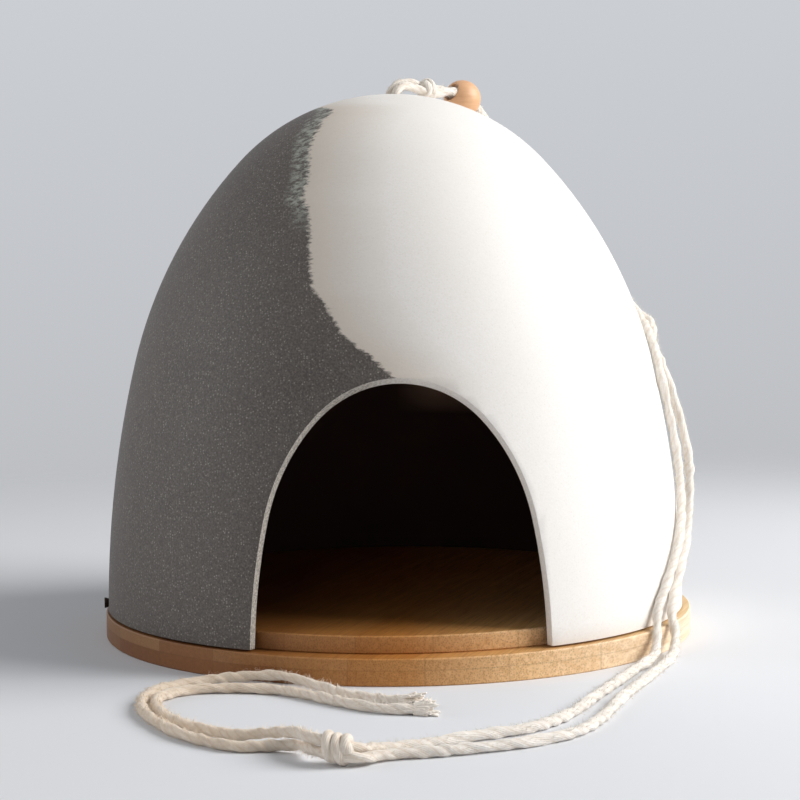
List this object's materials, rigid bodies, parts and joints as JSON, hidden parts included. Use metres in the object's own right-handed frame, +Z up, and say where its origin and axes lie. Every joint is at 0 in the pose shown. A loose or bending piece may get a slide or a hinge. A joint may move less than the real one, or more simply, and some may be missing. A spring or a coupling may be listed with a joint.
{
  "type": "igloo birdhouse",
  "caption": "Egg-shaped igloo birdhouse with an arched doorway on a round bamboo base, with a doubled cotton hanging cord, three knots and a wooden bead",
  "frame": {"origin": "centre of the underside of the bottom disc, on the floor", "axes": "+Z up, -Y out of the doorway, +X to the right as seen by a person who looks into the doorway"},
  "size_m": [0.2005, 0.2994, 0.1886],
  "materials": {
    "bamboo": "oiled",
    "moulded_shell": "matt",
    "black_screw": "satin",
    "bead_wood": "waxed",
    "cotton": "twisted"
  },
  "bodies": {
    "root": {"base_disc": "bamboo", "seat_disc": "bamboo", "dome_shell": "moulded_shell", "screw_left": "black_screw", "screw_right": "black_screw", "screw_back": "black_screw", "bead": "bead_wood", "stopper_knot": "cotton", "crown_knot": "cotton", "tail_knot": "cotton", "crown_cord_a": "cotton", "crown_cord_b": "cotton", "side_cord_a": "cotton", "side_cord_b": "cotton", "tail_cord_a": "cotton", "tail_cord_b": "cotton"}
  },
  "joints": []
}
